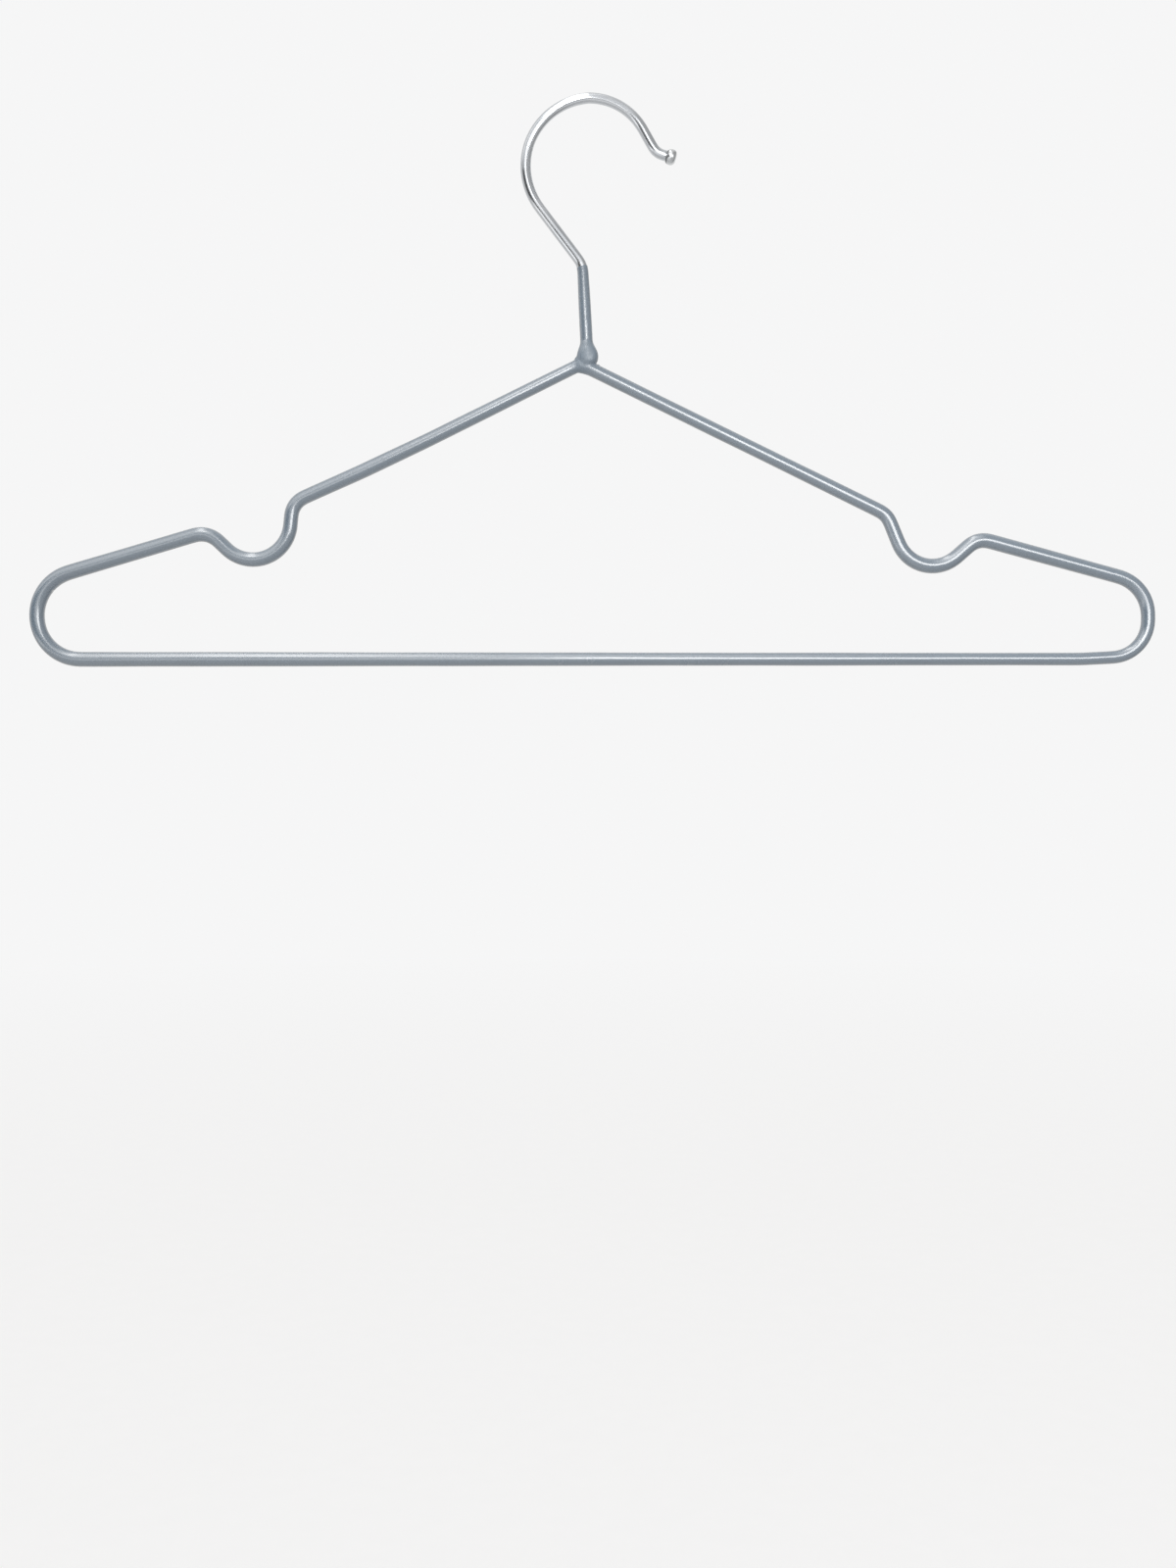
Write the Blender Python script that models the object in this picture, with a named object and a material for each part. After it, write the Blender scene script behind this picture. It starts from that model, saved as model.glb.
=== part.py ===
"""Coated wire clothes hanger with strap notches and a trouser bar.

One steel wire is bent into a closed loop (sloping arms, strap notches, rounded
ends and the straight trouser bar).  Its two ends meet under the neck, where a
weld joins them to the shank of a chromed hook wire.  A dipped plastic coat
covers the loop, the weld and the shank, and stops in a clean lip part way up
the neck.  The hook ends in a small ball.

Frame: metres, +Z up, the hanger lies in the XZ plane and its front faces -Y.
The origin is the underside of the hook's crown, where the hanger hangs.
Dimensions below are in millimetres.
"""

import bpy
import bmesh
from math import acos, ceil, cos, pi, radians, sin, tan
from mathutils import Matrix, Vector

MM = 0.001

# ---------------------------------------------------------------- dimensions
FRAME_WIRE_D = 3.8        # steel wire of the loop
HOOK_WIRE_D = 3.9         # chromed wire of the hook and its shank
FIT_GAP = 0.10            # radial gap between a wire and the coat or weld round it
BUTT_GAP = 0.15           # gap at the end face of a wire

TIP_BALL_D = 5.8          # flattened ball on the hook's tip, across the wire
TIP_BALL_L = 4.2          # and along the wire
TIP_SEAT = 0.9            # wire end face to ball centre

COAT_LIP_D = 4.4          # coat at its upper end, on the neck
COAT_NECK_D = 4.7         # coat at the foot of the neck
COAT_LIP_Z = -61.4        # height of the lip
COAT_OVER_WELD = 0.50     # coat thickness over the weld

WELD_BALL_D = 6.6         # weld nugget round the foot of the shank
WELD_BALL_AT = (-0.7, -94.7)
WELD_LOBE_D = 5.5         # weld between the two wire ends, below the nugget
WIRE_END_SETBACK = 1.5    # each wire end to the corner where the arms meet

# Corners of the loop's centre line, as the straight runs would cross:
# x, z, bend radius of the centre line, outer diameter of the coat there.
APEX = (-3.2, -97.5)
LOOP = [
    (APEX[0], APEX[1], 0.0, 4.9),
    (-60.5, -126.0, 220.0, 5.0),      # left arm, bowed very slightly
    (-84.9, -137.6, 146.6, 5.2),
    (-111.1, -149.3, 8.1, 5.3),       # left arm into the notch
    (-114.2, -187.9, 14.1, 5.4),      # bottom of the left strap notch
    (-142.5, -159.9, 9.3, 5.3),       # left shoulder peak
    (-208.1, -179.4, 16.6, 5.5),      # left end, upper bend
    (-204.8, -207.9, 16.2, 5.5),      # left end, lower bend
    (183.7, -207.8, 55.2, 4.7),       # the bar rises a little before its right end
    (208.9, -206.5, 13.9, 4.8),       # right end, lower bend
    (208.9, -180.0, 15.0, 5.3),       # right end, upper bend
    (145.2, -162.5, 8.2, 5.3),        # right shoulder peak
    (122.8, -182.5, 13.6, 5.3),       # bottom of the right strap notch
    (111.3, -153.8, 7.8, 5.2),        # right arm into the notch
    (APEX[0], APEX[1], 0.0, 4.9),
]

# The hook's centre line, from the foot of the shank to the tip: x, z, radius.
SHANK_FOOT = (-0.75, -95.6)
TIP_BALL_AT = (30.5, -20.4)
HOOK = [
    (SHANK_FOOT[0], SHANK_FOOT[1], 0.0),
    (-2.55, -60.4, 7.7),              # neck into the slanted run
    (-27.1, -27.9, 26.2),             # slanted run into the hook's round
    (-16.7, 1.3, 25.7),               # the round, upper left
    (13.1, 2.6, 22.8),                # the round, upper right
    (25.0, -18.7, 5.3),               # outward flick before the ball
    (TIP_BALL_AT[0], TIP_BALL_AT[1], 0.0),
]

SIDES = 12                # flats round a wire: one faces up, down, front and back
BEND_STEP = radians(12)   # largest turn between two rings in a tight bend
ROUND_STEP = radians(9)   # the same on the hook's large round


# ------------------------------------------------------------------- helpers
def clear_scene():
    for obj in list(bpy.data.objects):
        bpy.data.objects.remove(obj, do_unlink=True)


def material(name, color, roughness, metallic):
    mat = bpy.data.materials.new(name)
    mat.use_nodes = True
    bsdf = mat.node_tree.nodes["Principled BSDF"]
    bsdf.inputs["Base Color"].default_value = (*color, 1.0)
    bsdf.inputs["Roughness"].default_value = roughness
    bsdf.inputs["Metallic"].default_value = metallic
    mat.diffuse_color = (*color, 1.0)
    return mat


def stations(corners, big_radius=20.0):
    """Rings of a bent wire: a point, a direction and the extra value (such as a
    diameter) at each end and round each bend.  corners hold x, z, radius and
    optionally the extra value."""
    pts = [Vector((c[0], c[1])) for c in corners]
    extra = [c[3] if len(c) > 3 else 0.0 for c in corners]
    out = [(pts[0], (pts[1] - pts[0]).normalized(), extra[0])]
    for i in range(1, len(pts) - 1):
        back = (pts[i - 1] - pts[i]).normalized()
        ahead = (pts[i + 1] - pts[i]).normalized()
        radius = corners[i][2]
        opening = acos(max(-1.0, min(1.0, back.dot(ahead))))
        turn = pi - opening
        reach = radius / tan(opening / 2)
        start = pts[i] + back * reach
        centre = pts[i] + (back + ahead).normalized() * (radius / sin(opening / 2))
        step = ROUND_STEP if big_radius < radius < 100 else BEND_STEP
        count = max(2, ceil(turn / step))
        spoke = start - centre
        side = 1.0 if spoke.x * (-back.y) - spoke.y * (-back.x) > 0 else -1.0
        for k in range(count + 1):
            angle = side * turn * k / count
            arm = Vector((spoke.x * cos(angle) - spoke.y * sin(angle),
                          spoke.x * sin(angle) + spoke.y * cos(angle)))
            heading = Vector((-arm.y, arm.x)).normalized() * side
            out.append((centre + arm, heading, extra[i]))
    out.append((pts[-1], (pts[-1] - pts[-2]).normalized(), extra[-1]))
    return out


def trimmed(rings, at_start, at_end):
    """The same wire with its two straight ends cut back by these lengths."""
    first, last = rings[0], rings[-1]
    return ([(first[0] + first[1] * at_start, first[1], first[2])] + rings[1:-1]
            + [(last[0] - last[1] * at_end, last[1], last[2])])


def tube_mesh(name, rings, diameter):
    """A closed tube of SIDES flats; diameter(ring) is across the flats."""
    bm = bmesh.new()
    loops = []
    for point, heading, value in rings:
        radius = diameter((point, heading, value)) / 2 / cos(pi / SIDES)
        normal = Vector((-heading.y, heading.x))
        ring = []
        for k in range(SIDES):
            angle = 2 * pi * (k + 0.5) / SIDES
            offset = normal * (radius * cos(angle))
            ring.append(bm.verts.new(Vector((
                point.x + offset.x, radius * sin(angle), point.y + offset.y)) * MM))
        loops.append(ring)
    for a, b in zip(loops, loops[1:]):
        for k in range(SIDES):
            j = (k + 1) % SIDES
            bm.faces.new((a[k], a[j], b[j], b[k]))
    bm.faces.new(list(reversed(loops[0])))
    bm.faces.new(loops[-1])
    bmesh.ops.recalc_face_normals(bm, faces=bm.faces)
    mesh = bpy.data.meshes.new(name)
    bm.to_mesh(mesh)
    bm.free()
    return mesh


def ball_mesh(name, diameter, segments=16, rings=10):
    """A ball centred on its own origin, with its poles facing front and back."""
    bm = bmesh.new()
    bmesh.ops.create_uvsphere(bm, u_segments=segments, v_segments=rings,
                              radius=diameter / 2 * MM,
                              matrix=Matrix.Rotation(pi / 2, 4, "X"))
    bmesh.ops.recalc_face_normals(bm, faces=bm.faces)
    mesh = bpy.data.meshes.new(name)
    bm.to_mesh(mesh)
    bm.free()
    return mesh


def place(name, mesh, mat=None, at=(0.0, 0.0), parent=None):
    obj = bpy.data.objects.new(name, mesh)
    bpy.context.scene.collection.objects.link(obj)
    obj.location = (at[0] * MM, 0.0, at[1] * MM)
    if mat:
        mesh.materials.append(mat)
    obj.parent = parent
    return obj


def as_tool(obj):
    """A shape that only joins or cuts another one."""
    obj.hide_render = True
    obj.display_type = "WIRE"
    return obj


def combine(obj, operation, tool):
    mod = obj.modifiers.new(f"{operation.lower()}_{tool.name}", "BOOLEAN")
    mod.operation = operation
    mod.solver = "EXACT"
    mod.object = tool
    return mod


def smooth(obj, angle=40):
    obj.data.shade_smooth()
    obj.data.set_sharp_from_angle(angle=radians(angle))


# --------------------------------------------------------------------- build
def main():
    clear_scene()

    chrome = material("bright_chrome", (0.80, 0.81, 0.83), 0.08, 1.0)
    steel = material("drawn_steel", (0.42, 0.42, 0.43), 0.35, 1.0)
    weld = material("weld_metal", (0.30, 0.30, 0.31), 0.50, 1.0)
    coat = material("blue_grey_coat", (0.24, 0.28, 0.33), 0.28, 0.0)

    root = bpy.data.objects.new("hanger", None)
    bpy.context.scene.collection.objects.link(root)

    loop = stations(LOOP)
    hook = stations(HOOK)

    # The loop's steel wire: one length, its two ends facing each other at the apex.
    frame_wire = place(
        "frame_wire",
        tube_mesh("frame_wire", trimmed(loop, WIRE_END_SETBACK, WIRE_END_SETBACK),
                  lambda r: FRAME_WIRE_D),
        steel, parent=root)

    # The hook's wire, from its welded foot to the seat in the tip's ball.
    hook_wire = place(
        "hook_wire",
        tube_mesh("hook_wire", trimmed(hook, 0.0, TIP_SEAT), lambda r: HOOK_WIRE_D),
        chrome, parent=root)

    # The flattened ball on the tip, with a shallow seat for the wire's end.
    tip_heading = hook[-1][1]
    tip_mesh = ball_mesh("hook_tip_ball", TIP_BALL_D, 20, 12)
    tip_mesh.transform(Matrix.Scale(TIP_BALL_L / TIP_BALL_D, 4,
                                    Vector((tip_heading.x, 0.0, tip_heading.y))))
    tip_ball = place("hook_tip_ball", tip_mesh, chrome, at=TIP_BALL_AT, parent=root)
    tip_seat = as_tool(place(
        "tip_seat_cut",
        tube_mesh("tip_seat_cut", trimmed(hook, 0.0, TIP_SEAT - BUTT_GAP),
                  lambda r: HOOK_WIRE_D + 2 * FIT_GAP)))
    combine(tip_ball, "DIFFERENCE", tip_seat)

    # Clearances for the wires, cut from the weld and from the coat alike.
    loop_bore = as_tool(place(
        "loop_bore_cut",
        tube_mesh("loop_bore_cut",
                  trimmed(loop, WIRE_END_SETBACK - BUTT_GAP, WIRE_END_SETBACK - BUTT_GAP),
                  lambda r: FRAME_WIRE_D + 2 * FIT_GAP)))
    shank_bore = as_tool(place(
        "shank_bore_cut",
        tube_mesh("shank_bore_cut", trimmed(hook[:8], -BUTT_GAP, 0.0),
                  lambda r: HOOK_WIRE_D + 2 * FIT_GAP)))

    # The weld: a nugget round the shank's foot and a lobe between the wire ends.
    apex_weld = place("apex_weld", ball_mesh("apex_weld", WELD_BALL_D), weld,
                      at=WELD_BALL_AT, parent=root)
    weld_lobe = as_tool(place("weld_lobe_join", ball_mesh("weld_lobe_join", WELD_LOBE_D),
                              at=APEX))
    combine(apex_weld, "UNION", weld_lobe)
    combine(apex_weld, "DIFFERENCE", loop_bore)
    combine(apex_weld, "DIFFERENCE", shank_bore)

    # The dipped coat: a skin over loop, weld and shank, open at the lip only.
    skin_start = 1.45
    pvc_coat = place(
        "pvc_coat",
        tube_mesh("pvc_coat", trimmed(loop, skin_start, skin_start), lambda r: r[2]),
        coat, parent=root)

    foot = Vector(SHANK_FOOT)
    neck_dir = (Vector(HOOK[1][:2]) - foot).normalized()
    bend = hook[1]
    lip_rings = [r for r in hook[1:6] if r[0].y < COAT_LIP_Z]
    neck_rings = [(foot + neck_dir * 0.6, neck_dir, COAT_NECK_D)]
    neck_rings.append((foot + neck_dir * 9.0, neck_dir, COAT_NECK_D))
    neck_rings += [(r[0], r[1], COAT_LIP_D) for r in lip_rings]
    last = neck_rings[-1]
    rise = (COAT_LIP_Z - last[0].y) / last[1].y
    if rise > 0.2:
        neck_rings.append((last[0] + last[1] * rise, last[1], COAT_LIP_D))
    neck_skin = as_tool(place("neck_skin_join",
                              tube_mesh("neck_skin_join", neck_rings, lambda r: r[2])))

    weld_skin = as_tool(place(
        "weld_skin_join",
        ball_mesh("weld_skin_join", WELD_BALL_D + 2 * COAT_OVER_WELD, 20, 12),
        at=WELD_BALL_AT))
    lobe_skin = as_tool(place(
        "lobe_skin_join",
        ball_mesh("lobe_skin_join", WELD_LOBE_D + 2 * COAT_OVER_WELD, 20, 12), at=APEX))
    weld_bore = as_tool(place(
        "weld_bore_cut", ball_mesh("weld_bore_cut", WELD_BALL_D + 2 * FIT_GAP),
        at=WELD_BALL_AT))
    lobe_bore = as_tool(place(
        "lobe_bore_cut", ball_mesh("lobe_bore_cut", WELD_LOBE_D + 2 * FIT_GAP), at=APEX))

    for tool in (lobe_skin, weld_skin, neck_skin):
        combine(pvc_coat, "UNION", tool)
    for tool in (loop_bore, lobe_bore, weld_bore, shank_bore):
        combine(pvc_coat, "DIFFERENCE", tool)

    for obj in (frame_wire, hook_wire, tip_ball, apex_weld, pvc_coat):
        smooth(obj)


main()
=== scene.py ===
"""Looks of the coated wire hanger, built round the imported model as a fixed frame.

Frame: metres, +Z up, the hanger lies in the XZ plane and its front faces -Y.
Numbers in the tables below are millimetres unless they say otherwise.
"""

from math import acos, cos, pi, radians, sin, tan

import bmesh
import bpy
import numpy as np
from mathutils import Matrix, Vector


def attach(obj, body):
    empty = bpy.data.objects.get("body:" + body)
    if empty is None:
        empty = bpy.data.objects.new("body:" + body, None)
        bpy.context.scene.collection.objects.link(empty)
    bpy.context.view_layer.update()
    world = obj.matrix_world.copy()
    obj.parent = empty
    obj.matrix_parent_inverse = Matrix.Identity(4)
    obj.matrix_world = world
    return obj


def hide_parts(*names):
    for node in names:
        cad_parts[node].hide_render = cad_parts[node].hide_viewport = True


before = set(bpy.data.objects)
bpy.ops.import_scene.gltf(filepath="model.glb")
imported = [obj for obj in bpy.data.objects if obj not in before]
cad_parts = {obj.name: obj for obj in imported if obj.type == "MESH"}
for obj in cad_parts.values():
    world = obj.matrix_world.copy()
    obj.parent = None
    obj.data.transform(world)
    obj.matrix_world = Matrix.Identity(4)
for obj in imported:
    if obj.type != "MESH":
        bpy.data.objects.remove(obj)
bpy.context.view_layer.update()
scene = bpy.context.scene
MM = 0.001

# ------------------------------------------------------------------ the wire
# Corners of the loop's centre line and of the hook's: x, z, bend radius.
APEX = (-3.2, -97.5)
LOOP = [
    (APEX[0], APEX[1], 0.0),
    (-60.5, -126.0, 220.0),      # left arm, bowed very slightly
    (-84.9, -137.6, 146.6),
    (-111.1, -149.3, 8.1),       # left arm into the notch
    (-114.2, -187.9, 14.1),      # bottom of the left strap notch
    (-142.5, -159.9, 9.3),       # left shoulder peak
    (-208.1, -179.4, 16.6),      # left end, upper bend
    (-204.8, -207.9, 16.2),      # left end, lower bend
    (183.7, -207.8, 55.2),       # the bar rises a little before its right end
    (208.9, -206.5, 13.9),       # right end, lower bend
    (208.9, -180.0, 15.0),       # right end, upper bend
    (145.2, -162.5, 8.2),        # right shoulder peak
    (122.8, -182.5, 13.6),       # bottom of the right strap notch
    (111.3, -153.8, 7.8),        # right arm into the notch
    (APEX[0], APEX[1], 0.0),
]
SHANK_FOOT = (-0.75, -95.6)
TIP_AT = (30.45, -20.1)
HOOK = [
    (SHANK_FOOT[0], SHANK_FOOT[1], 0.0),
    (-2.55, -60.4, 7.7),
    (-27.1, -27.9, 26.2),
    (-16.7, 1.3, 25.7),
    (13.1, 2.6, 22.8),
    (25.0, -18.7, 5.3),
    (TIP_AT[0], TIP_AT[1], 0.0),
]

# The coat's outer diameter at points along the loop: x, z, diameter.
COAT_DIAMETERS = [
    (-3.2, -97.5, 4.80),
    (-15.0, -103.4, 4.86),
    (-29.7, -110.7, 5.00),
    (-59.0, -125.3, 5.24),
    (-81.0, -135.8, 5.40),
    (-99.3, -144.3, 5.28),
    (-112.5, -158.0, 5.32),
    (-125.5, -172.5, 5.46),      # left notch
    (-142.0, -164.0, 5.50),      # left shoulder
    (-175.0, -169.6, 5.58),
    (-203.0, -185.0, 5.64),      # left end
    (-200.0, -204.0, 5.56),
    (-181.0, -207.9, 5.62),
    (-146.0, -207.9, 5.44),
    (0.0, -207.9, 5.02),
    (150.0, -207.9, 4.74),       # right half of the bar
    (196.0, -206.8, 4.76),
    (207.0, -200.0, 4.96),       # right end
    (206.0, -185.0, 5.34),
    (176.0, -171.0, 5.56),       # right shoulder
    (146.0, -165.0, 5.62),
    (128.0, -174.0, 5.48),       # right notch
    (112.0, -160.0, 5.40),
    (98.0, -147.2, 5.26),
    (60.0, -128.6, 5.02),
    (30.0, -113.8, 5.06),
    (12.0, -105.0, 5.10),
    (-3.2, -97.5, 5.10),
]
# Radius of the coat on the neck: height z, radius.  The lip is at the top.
NECK_RADII = [(-96.0, 2.36), (-86.8, 2.36), (-84.3, 2.35), (-75.8, 2.31),
              (-69.6, 2.22), (-65.9, 2.14), (-61.2, 2.08)]
LIP_Z = -61.2

HOOK_R = 1.955             # bare wire of the hook
BORE_R = 2.08              # bore of the coat round the loop's wire
NECK_BORE_R = 1.985        # bore of the coat round the shank
WELD_AT = (-0.65, -94.7)   # weld bulge at the foot of the neck
WELD_R = 3.75
CUT = 12.0                 # where the arms leave the modelled junction
NECK_CUT_Z = -81.5


class Run:
    """A bent wire's centre line, as points every quarter millimetre, with the
    bends eased into the straights the way drawn wire springs."""

    def __init__(self, corners, ease=1.2, step=0.25):
        pts = [np.array(c[:2], float) for c in corners]
        line = [pts[0]]
        for i in range(1, len(pts) - 1):
            back = (pts[i - 1] - pts[i]) / np.linalg.norm(pts[i - 1] - pts[i])
            ahead = (pts[i + 1] - pts[i]) / np.linalg.norm(pts[i + 1] - pts[i])
            radius = corners[i][2]
            opening = acos(max(-1.0, min(1.0, float(back @ ahead))))
            turn = pi - opening
            start = pts[i] + back * (radius / tan(opening / 2))
            centre = pts[i] + (back + ahead) / np.linalg.norm(back + ahead) * (
                radius / sin(opening / 2))
            spoke = start - centre
            side = 1.0 if spoke[0] * (-back[1]) - spoke[1] * (-back[0]) > 0 else -1.0
            count = max(2, int(turn * radius / 0.1) + 1)
            for k in range(count + 1):
                a = side * turn * k / count
                line.append(centre + np.array([spoke[0] * cos(a) - spoke[1] * sin(a),
                                               spoke[0] * sin(a) + spoke[1] * cos(a)]))
        line.append(pts[-1])
        line = np.array(line)
        keep = np.r_[True, np.linalg.norm(np.diff(line, axis=0), axis=1) > 1e-9]
        line = line[keep]
        run = np.r_[0, np.cumsum(np.linalg.norm(np.diff(line, axis=0), axis=1))]
        s = np.linspace(0, run[-1], int(round(run[-1] / step)) + 1)
        line = np.c_[np.interp(s, run, line[:, 0]), np.interp(s, run, line[:, 1])]
        h = s[1] - s[0]
        m = int(4 * ease / h)
        kernel = np.exp(-0.5 * (np.arange(-m, m + 1) * h / ease) ** 2)
        kernel /= kernel.sum()
        before = np.array([line[0] + (line[0] - line[1]) * (m - j) for j in range(m)])
        after = np.array([line[-1] + (line[-1] - line[-2]) * (j + 1) for j in range(m)])
        longer = np.concatenate([before, line, after])
        self.p = np.c_[np.convolve(longer[:, 0], kernel, "valid"),
                       np.convolve(longer[:, 1], kernel, "valid")]
        self.s = np.r_[0, np.cumsum(np.linalg.norm(np.diff(self.p, axis=0), axis=1))]
        self.length = self.s[-1]
        t = np.gradient(self.p, self.s, axis=0)
        self.t = t / np.linalg.norm(t, axis=1)[:, None]
        bend = np.linalg.norm(np.gradient(self.t, self.s, axis=0), axis=1)
        self.bend = np.convolve(np.pad(bend, 4, "edge"), np.ones(9) / 9, "valid")

    def at(self, s):
        """Points and headings at these arc lengths."""
        s = np.asarray(s, float)
        p = np.stack([np.interp(s, self.s, self.p[:, k]) for k in (0, 1)], -1)
        t = np.stack([np.interp(s, self.s, self.t[:, k]) for k in (0, 1)], -1)
        return p, t / np.linalg.norm(t, axis=-1)[..., None]

    def near(self, x, z, low=0.0, high=1e9):
        d = np.hypot(self.p[:, 0] - x, self.p[:, 1] - z)
        d[(self.s < low) | (self.s > high)] = 1e9
        return self.s[int(np.argmin(d))]

    def stations(self, start, end, widest, turn, finer=()):
        """Arc lengths from start to end: never further apart than widest, and
        never turning more than turn between two.  finer holds (arc length,
        half width, spacing) of places that carry fine detail."""
        s = np.linspace(start, end, int((end - start) / 0.1) + 2)
        rate = np.maximum(1 / widest, np.interp(s, self.s, self.bend) / turn)
        for at, half, gap in finer:
            rate = np.maximum(rate, (1 / gap) / (1 + (np.abs(s - at) / half) ** 4))
        total = np.r_[0, np.cumsum((rate[1:] + rate[:-1]) / 2 * np.diff(s))]
        count = int(np.ceil(total[-1]))
        return np.interp(np.linspace(0, total[-1], count + 1), total, s)


loop = Run(LOOP)
hook = Run(HOOK)

_at, _last = [], 0.0
for _x, _z, _d in COAT_DIAMETERS[:-1]:
    _last = loop.near(_x, _z, _last, _last + 480)
    _at.append(_last)
_at.append(loop.length)
_fine = np.linspace(0, loop.length, 3000)
_flat = np.interp(_fine, _at, [d / 2 for _, _, d in COAT_DIAMETERS])
_k = np.exp(-0.5 * (np.arange(-60, 61) / 20) ** 2)
_flat = np.convolve(np.pad(_flat, 60, "edge"), _k / _k.sum(), "valid")


def coat_radius(s):
    """Outer radius of the coat along the loop, with the slow unevenness that a
    dipped coat has."""
    s = np.asarray(s, float)
    slow = 0.022 * np.sin(s / 17.0 + 0.7) + 0.014 * np.sin(s / 7.3 + 2.1)
    fade = np.clip((np.minimum(s, loop.length - s) - CUT) / 15, 0, 1)
    return np.interp(s, _fine, _flat) + slow * fade


def coat_ripple(s, a):
    """Unevenness round the wire at angle a, where the coat has run before it set."""
    fade = np.clip((np.minimum(s, loop.length - s) - CUT) / 15, 0, 1)
    return fade * (0.012 * np.sin(a + s / 23.0) + 0.008 * np.sin(2 * a - s / 11.0 + 1.0)
                   + 0.005 * np.sin(3 * a + s / 5.1))


# ------------------------------------------------------------- mesh building
class Parts:
    """Vertices, faces and wanted normals of a mesh that is put together."""

    def __init__(self):
        self.verts, self.normals, self.faces, self.n = [], [], [], 0

    def add(self, points, normals=None):
        points = np.asarray(points, float).reshape(-1, 3)
        ids = np.arange(self.n, self.n + len(points))
        self.verts.append(points)
        self.normals.append(np.zeros_like(points) if normals is None else normals)
        self.n += len(points)
        return ids

    def rings(self, grid, close=False):
        """Quads between rows of vertex numbers, each row a ring."""
        pairs = zip(grid, np.roll(grid, -1, axis=0) if close else grid[1:])
        for a, b in pairs:
            self.faces += np.c_[a, np.roll(a, -1), np.roll(b, -1), b].tolist()

    def cap(self, ring, centre):
        mid = self.add([centre])[0]
        self.faces += [(int(i), int(j), int(mid)) for i, j in zip(ring, np.roll(ring, -1))]

    def zipper(self, a, angle_a, b, angle_b):
        """Triangles between two rings with different numbers of points."""
        oa, ob = np.argsort(angle_a), np.argsort(angle_b)
        a, aa = a[oa], angle_a[oa]
        b, bb = b[ob], angle_b[ob]
        i = j = 0
        while i < len(a) or j < len(b):
            next_a = aa[(i + 1) % len(a)] + 2 * pi * ((i + 1) // len(a)) if i < len(a) else 1e9
            next_b = bb[(j + 1) % len(b)] + 2 * pi * ((j + 1) // len(b)) if j < len(b) else 1e9
            if next_a <= next_b:
                self.faces.append((int(a[i % len(a)]), int(a[(i + 1) % len(a)]), int(b[j % len(b)])))
                i += 1
            else:
                self.faces.append((int(a[i % len(a)]), int(b[(j + 1) % len(b)]), int(b[j % len(b)])))
                j += 1

    def build(self, name):
        mesh = bpy.data.meshes.new(name)
        verts = np.concatenate(self.verts) * MM
        normals = np.concatenate(self.normals)
        mesh.from_pydata(verts.tolist(), [], self.faces)
        bm = bmesh.new()
        bm.from_mesh(mesh)
        bmesh.ops.recalc_face_normals(bm, faces=bm.faces)
        bm.to_mesh(mesh)
        bm.free()
        mesh.shade_smooth()
        if np.abs(normals).max() > 0:
            mesh.normals_split_custom_set_from_vertices(normals.tolist())
        obj = bpy.data.objects.new(name, mesh)
        scene.collection.objects.link(obj)
        return obj


def swept(run, s, a, radius):
    """Points round a run at arc lengths s and angles a; radius is one value per
    arc length or a whole grid.  Angle 0 is on the run's left in the XZ plane."""
    p, t = run.at(s)
    radius = np.broadcast_to(np.asarray(radius, float).reshape(len(s), -1), (len(s), len(a)))
    n = np.stack([-t[:, 1], t[:, 0]], -1)
    flat = radius * np.cos(a)[None, :]
    return np.stack([p[:, 0, None] + n[:, 0, None] * flat,
                     radius * np.sin(a)[None, :],
                     p[:, 1, None] + n[:, 1, None] * flat], -1)


def round_angles(count):
    return np.arange(count) * 2 * pi / count


# ------------------------------------------------------- where the arms meet
def smooth_min(a, b, k):
    h = np.clip(0.5 + 0.5 * (b - a) / k, 0, 1)
    return b + (a - b) * h - k * h * (1 - h)


def rod(q, a, b, ra, rb):
    """Distance to a round-ended rod whose radius goes from ra at a to rb at b."""
    a, b = np.array([a[0], 0, a[1]]), np.array([b[0], 0, b[1]])
    ab = b - a
    t = np.clip(((q - a) @ ab) / (ab @ ab), 0, 1)
    return np.linalg.norm(q - a - t[..., None] * ab, axis=-1) - (ra + (rb - ra) * t)


def ball(q, at, r, flat=1.0):
    """Distance to a ball, squeezed from front to back by flat."""
    d = q - np.array([at[0], 0, at[1]])
    return np.linalg.norm(d * np.array([1, 1 / flat, 1]), axis=-1) * (
        (1 + flat) / 2 if flat != 1.0 else 1.0) - r * ((1 + flat) / 2 if flat != 1.0 else 1.0)


left_dir = loop.at([0.0])[1][0]
right_dir = -loop.at([loop.length])[1][0]
neck_dir = hook.at([0.0])[1][0]


def along(p, d, by):
    return (p[0] + d[0] * by, p[1] + d[1] * by)


def arm_radii(s_cut):
    """Radii 0 and 20 mm from the apex that fit the coat at the cut, in value
    and in slope."""
    inward = 1.0 if s_cut < loop.length / 2 else -1.0
    r = float(coat_radius(s_cut))
    slope = inward * float(coat_radius(s_cut + 0.5) - coat_radius(s_cut - 0.5))
    return r - slope * CUT, r + slope * (20 - CUT)


left_radii = arm_radii(CUT)
right_radii = arm_radii(loop.length - CUT)
neck_top = along(SHANK_FOOT, neck_dir, 20.0)


def faced(q, f, depth, k):
    """Flattens a shape in front and behind, like weld metal pressed between
    electrodes; the two faces lean a little upwards and to the left."""
    off = q - np.array([WELD_AT[0], 0, WELD_AT[1]])
    face = (np.abs(q[..., 1]) * 0.999 - 0.030 * off[..., 0] + 0.020 * off[..., 2]) - depth
    return -smooth_min(-f, -face, k)


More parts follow.
